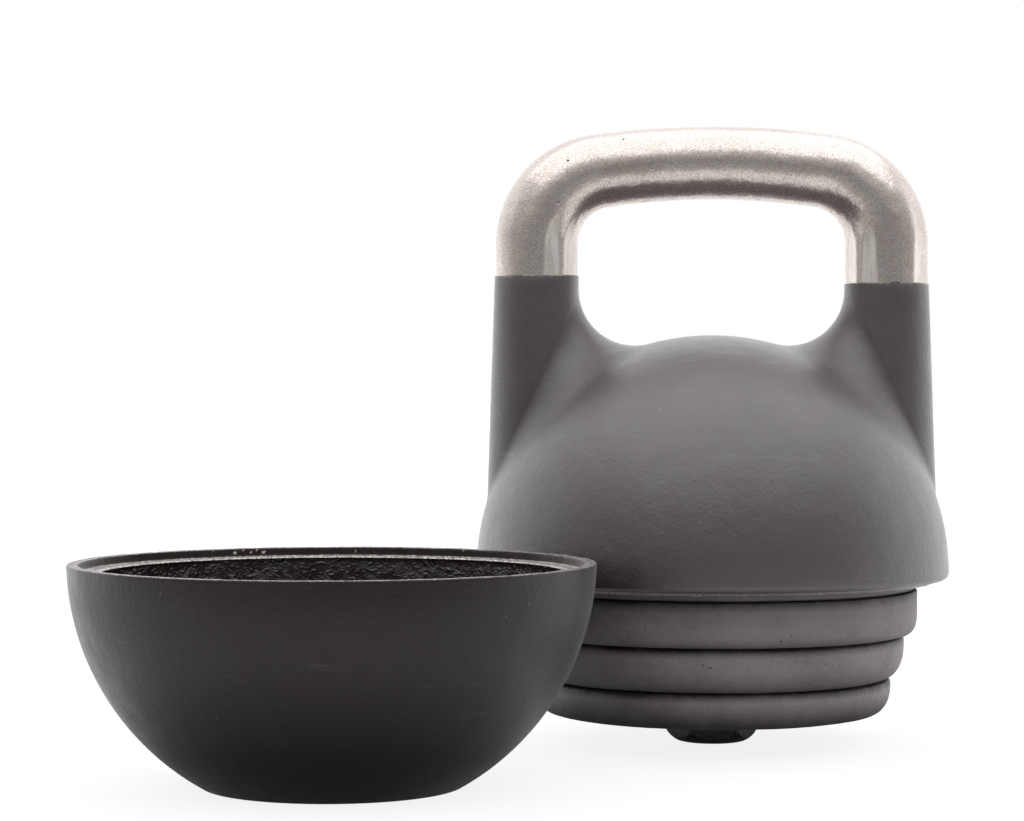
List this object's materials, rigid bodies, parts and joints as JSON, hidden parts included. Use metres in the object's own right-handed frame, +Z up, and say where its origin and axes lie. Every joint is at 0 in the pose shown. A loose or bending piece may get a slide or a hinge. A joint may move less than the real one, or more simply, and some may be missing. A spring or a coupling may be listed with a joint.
{
  "type": "kettlebell",
  "caption": "Adjustable competition kettlebell, opened: handled upper shell standing on its plate stack and lock nut, with the hollow lower shell set down beside it",
  "frame": {"origin": "centre of the lock nut's underside, on the ground, on the axis of the round body", "axes": "+Z up along the post, +X along the grip to the right, +Y to the back; the lower shell stands to the front left"},
  "size_m": [0.3702, 0.3517, 0.274],
  "materials": {
    "powder_coat": "charcoal satin powder coat on cast iron",
    "bare_grip": "bare steel, blasted and lightly polished",
    "post_steel": "plain threaded steel",
    "plate_iron": "grey-black painted cast iron with casting pits",
    "plated_steel": "zinc-plated steel",
    "black_steel": "blackened steel",
    "nylon": "natural nylon"
  },
  "bodies": {
    "clamp_washer": {"clamp_washer": "plated_steel"},
    "lock_nut": {"lock_nut": "black_steel"},
    "bell": {"upper_shell": "powder_coat", "handle": "bare_grip", "center_post": "post_steel"},
    "plate_1": {"plate_1": "plate_iron"},
    "plate_2": {"plate_2": "plate_iron"},
    "plate_3": {"plate_3": "plate_iron"},
    "plate_4": {"plate_4": "plate_iron"},
    "plate_5": {"plate_5": "plate_iron"},
    "plate_6": {"plate_6": "plate_iron"},
    "plate_7": {"plate_7": "plate_iron"},
    "lower_shell": {"lower_shell": "powder_coat", "base_screw_washer": "plated_steel"},
    "base_screw": {"base_screw": "black_steel", "base_screw_keeper": "nylon"}
  },
  "joints": [
    {"name": "shell_lift", "type": "slide", "parent": "clamp_washer", "child": "bell", "axis": [0, 0, 1], "range_m": [0, 0.24]},
    {"name": "nut_turn", "type": "hinge", "parent": "clamp_washer", "child": "lock_nut", "pos_m": [0, 0, 0], "axis": [0, 0, -1], "continuous": true},
    {"name": "plate_1_lift", "type": "slide", "parent": "clamp_washer", "child": "plate_1", "axis": [0, 0, 1], "range_m": [0, 0.0673]},
    {"name": "plate_2_lift", "type": "slide", "parent": "clamp_washer", "child": "plate_2", "axis": [0, 0, 1], "range_m": [0, 0.0577]},
    {"name": "plate_3_lift", "type": "slide", "parent": "clamp_washer", "child": "plate_3", "axis": [0, 0, 1], "range_m": [0, 0.0481]},
    {"name": "plate_4_lift", "type": "slide", "parent": "clamp_washer", "child": "plate_4", "axis": [0, 0, 1], "range_m": [0, 0.0385]},
    {"name": "plate_5_lift", "type": "slide", "parent": "clamp_washer", "child": "plate_5", "axis": [0, 0, 1], "range_m": [0, 0.0289]},
    {"name": "plate_6_lift", "type": "slide", "parent": "clamp_washer", "child": "plate_6", "axis": [0, 0, 1], "range_m": [0, 0.0193]},
    {"name": "plate_7_lift", "type": "slide", "parent": "clamp_washer", "child": "plate_7", "axis": [0, 0, 1], "range_m": [0, 0.0097]},
    {"name": "bowl_lift", "type": "slide", "parent": "clamp_washer", "child": "lower_shell", "axis": [0, 0, 1], "range_m": [0, 0.12]},
    {"name": "base_screw_turn", "type": "hinge", "parent": "lower_shell", "child": "base_screw", "pos_m": [-0.16028, -0.1418, 0.0064], "axis": [0, 0, 1], "continuous": true}
  ],
  "couplings": [
    {"joint": "nut_turn", "follows": "shell_lift", "rad_per_m": 2094.4},
    {"joint": "plate_1_lift", "follows": "shell_lift", "ratio": 0.28},
    {"joint": "plate_2_lift", "follows": "shell_lift", "ratio": 0.24},
    {"joint": "plate_3_lift", "follows": "shell_lift", "ratio": 0.2},
    {"joint": "plate_4_lift", "follows": "shell_lift", "ratio": 0.16},
    {"joint": "plate_5_lift", "follows": "shell_lift", "ratio": 0.12},
    {"joint": "plate_6_lift", "follows": "shell_lift", "ratio": 0.08},
    {"joint": "plate_7_lift", "follows": "shell_lift", "ratio": 0.04}
  ]
}
